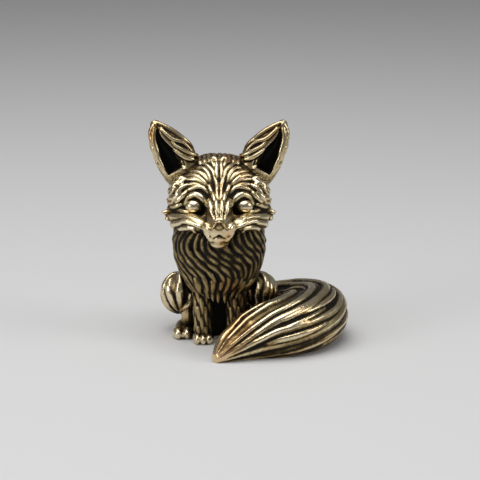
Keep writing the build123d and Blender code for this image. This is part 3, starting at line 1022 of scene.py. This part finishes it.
# Patina
# Dark wax is wiped over the whole fox and rubbed off again, and it stays in the cuts. Painted shade and light
# are laid into the same value:
# darker under overhangs, between parts and on faces that turn down or aside, and lighter on bulges and faces
# that turn up, as under the overhead lamp.
# It is also darker or lighter piece by piece. So each skin stores how deep it lies in the cuts and how much
# of the fox stands round it.
def neighbour_mean(values, edges, degrees):
    """The mean of each vertex's neighbours."""
    total = np.zeros_like(values)
    for part in range(values.shape[1]):
        for one, other in ((0, 1), (1, 0)):
            weights = values[edges[:, other], part]
            total[:, part] += np.bincount(edges[:, one], weights=weights, minlength=len(values))
    return total / degrees[:, None]


def cut_depth(mesh, steps, unit):
    """How far each vertex lies below the skin some edges round it, as shares of a depth in millimetres."""
    places = vertex_places(mesh) * mm_per_m
    edges = np.empty(len(mesh.edges) * 2, dtype=np.int64)
    mesh.edges.foreach_get("vertices", edges)
    edges = edges.reshape(-1, 2)
    degrees = np.maximum(np.bincount(edges.ravel(), minlength=len(places)), 1)
    spread = places
    for _ in range(steps):
        spread = neighbour_mean(spread, edges, degrees)
    return ((spread - places) * vertex_normals(mesh)).sum(axis=1) / unit


def enclosed(places, normals, reach):
    """How much of the fox's skin stands in front of each place, within a reach in millimetres."""
    cell = reach / 2
    margin = 4 * reach
    taps_aside = 6
    low = places.min(axis=0) - margin
    shape = np.ceil((places.max(axis=0) + margin - low) / cell).astype(int)
    cells = np.ravel_multi_index(((places - low) / cell).astype(int).T, shape)
    taps = np.exp(-0.5 * (np.arange(-taps_aside, taps_aside + 1) * cell / reach) ** 2)
    sums = []
    for weights in (np.ones(len(places)), *places.T):
        field = np.bincount(cells, weights=weights, minlength=shape.prod()).reshape(shape)
        for axis in range(3):
            field = sum(tap * np.roll(field, shift - taps_aside, axis) for shift, tap in enumerate(taps))
        sums.append(field.ravel()[cells])
    means = np.stack(sums[1:], axis=1) / sums[0][:, None]
    return ((means - places) * normals).sum(axis=1) / reach


# Fine and broad cuts: how many edges round a vertex count, and the depth in millimetres that gives one
fine_cut = (4, 0.05)
broad_cut = (24, 0.16)
patina_middle = 0.58
cut_weight = 0.27
near_reach = 0.6
near_weight = 0.6
far_reach = 2.0
far_weight = 0.54
facing_weight = 0.27
facing_middle = 0.32
wax_and_shade_kept = 0.9
all_places = np.concatenate([vertex_places(casting.data) * mm_per_m for casting, wax_and_shade in castings])
all_normals = np.concatenate([vertex_normals(casting.data) for casting, wax_and_shade in castings])
# Painted shade: the broad reach darkens the skin under overhangs and between parts and lightens open bulges;
# the near reach follows the cuts between locks, where wax stays
near_shade = enclosed(all_places, all_normals, near_reach)
far_shade = enclosed(all_places, all_normals, far_reach)
first = 0
for casting, wax_and_shade in castings:
    mesh = casting.data
    last = first + len(mesh.vertices)
    cuts = cut_depth(mesh, *fine_cut) + cut_depth(mesh, *broad_cut)
    shade = near_weight * near_shade[first:last] + far_weight * far_shade[first:last]
    # Painted shade and light: faces that turn down or aside get darker and faces that turn up get lighter, as
    # under the overhead lamp
    facing_light_and_shade = facing_weight * (facing_middle - all_normals[first:last, 2])
    # Each piece's own offset is wax and painted shade together: the ruff and forelegs are darkened as if in
    # the shade of the head, the head is lightened as if lit, and the lowest value follows it
    least = wax_and_shade_kept * max(wax_and_shade, 0)
    patina_and_shade = np.clip(patina_middle + wax_and_shade + cut_weight * cuts + shade + facing_light_and_shade, least, 1)
    mesh.attributes.new("patina_and_shade", "FLOAT", "POINT").data.foreach_set("value", patina_and_shade.astype(np.float32))
    first = last

# Studio
# A wide pale floor under the fox, a large soft lamp overhead and a weaker one at each side.
# A dim grey world fills the shadows.
floor_corners = [(-3, -2, 0), (3, -2, 0), (3, 4, 0), (-3, 4, 0)]
floor_colour = (0.72, 0.72, 0.72, 1)
floor_roughness = 0.9
world_colour = (0.16, 0.16, 0.16, 1)
floor = bpy.data.meshes.new("floor")
floor.from_pydata(floor_corners, [], [(0, 1, 2, 3)])
floor_object = bpy.data.objects.new("floor", floor)
pale = bpy.data.materials.new("pale_floor")
pale.use_nodes = True
pale_shader = pale.node_tree.nodes["Principled BSDF"]
pale_shader.inputs["Base Color"].default_value = floor_colour
pale_shader.inputs["Roughness"].default_value = floor_roughness
floor.materials.append(pale)
bpy.context.scene.collection.objects.link(floor_object)


def add_lamp(name, place, target, size, watts):
    """A square soft lamp that faces a target, in metres."""
    light = bpy.data.lights.new(name, "AREA")
    light.size = size
    light.energy = watts
    lamp = bpy.data.objects.new(name, light)
    lamp.location = place
    lamp.rotation_euler = (Vector(target) - Vector(place)).to_track_quat("-Z", "Y").to_euler()
    bpy.context.scene.collection.objects.link(lamp)


fox_middle = (0, -0.006, 0.016)
add_lamp("overhead", (-0.04, -0.06, 0.34), fox_middle, 0.34, 1.0)
add_lamp("left", (-0.35, -0.22, 0.16), fox_middle, 0.18, 0.4)
add_lamp("right", (0.35, -0.12, 0.20), fox_middle, 0.18, 0.3)
world = bpy.data.worlds.new("studio")
world.use_nodes = True
world.node_tree.nodes["Background"].inputs["Color"].default_value = world_colour
bpy.context.scene.world = world
bpy.context.scene.view_settings.view_transform = "Standard"
